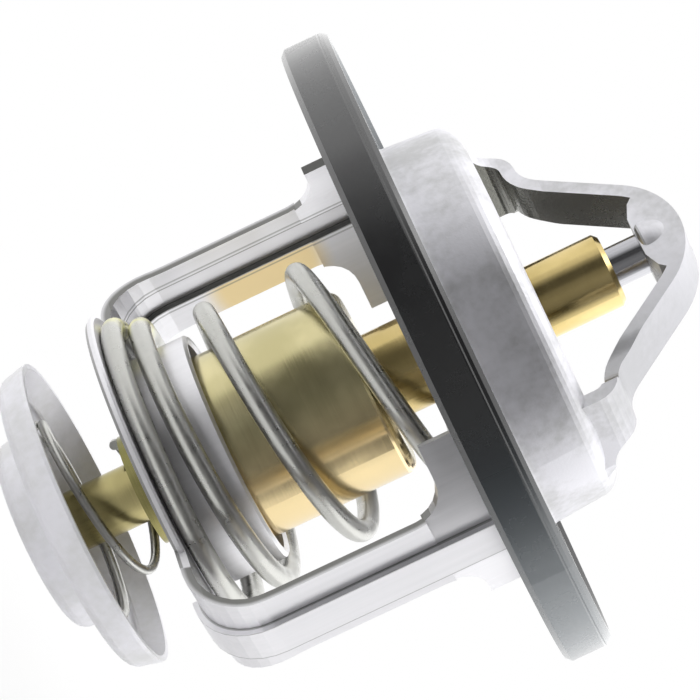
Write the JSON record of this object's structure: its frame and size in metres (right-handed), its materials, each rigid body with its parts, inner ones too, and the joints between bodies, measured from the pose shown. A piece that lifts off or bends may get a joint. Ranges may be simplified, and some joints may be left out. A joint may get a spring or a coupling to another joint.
{
  "type": "engine thermostat",
  "caption": "Wax thermostat for engine cooling water, with rubber gasket, bridge, spring frame and a sprung bypass disc on its tail.",
  "frame": {"origin": "middle of the gasket, on the thermostat's axis", "axes": "+Z along the axis from the bypass disc towards the bridge; +X towards one foot of the bridge and one leg of the frame"},
  "size_m": [0.056, 0.056, 0.0599],
  "materials": {
    "stainless": "satin",
    "spring_steel": "satin",
    "brass": "satin",
    "rubber": "matt",
    "wax": "matt",
    "washer_plastic": "matt"
  },
  "bodies": {
    "housing": {"seat_bridge": "stainless", "flange_gasket": "rubber", "spring_frame": "stainless", "piston_pin": "stainless", "rubber_plug": "rubber", "backup_washer": "washer_plastic", "main_spring": "spring_steel"},
    "wax_element": {"guide_neck": "brass", "capsule_case": "brass", "diaphragm": "rubber", "wax_charge": "wax", "valve_plate": "stainless", "valve_seal": "rubber", "valve_retainer": "brass", "bypass_stem": "brass", "stem_ring": "brass", "bypass_spring": "spring_steel", "stem_clip": "stainless"},
    "bypass_valve": {"bypass_disc": "stainless"}
  },
  "joints": [
    {"name": "valve_lift", "type": "slide", "parent": "housing", "child": "wax_element", "axis": [0, 0, -1], "range_m": [0, 0.008], "stiffness_N_per_m": 2500, "springref_m": -0.006, "deforming": ["main_spring"]},
    {"name": "bypass_slide", "type": "slide", "parent": "wax_element", "child": "bypass_valve", "axis": [0, 0, 1], "range_m": [0, 0.0035], "stiffness_N_per_m": 1500, "springref_m": -0.003, "deforming": ["bypass_spring"]}
  ]
}
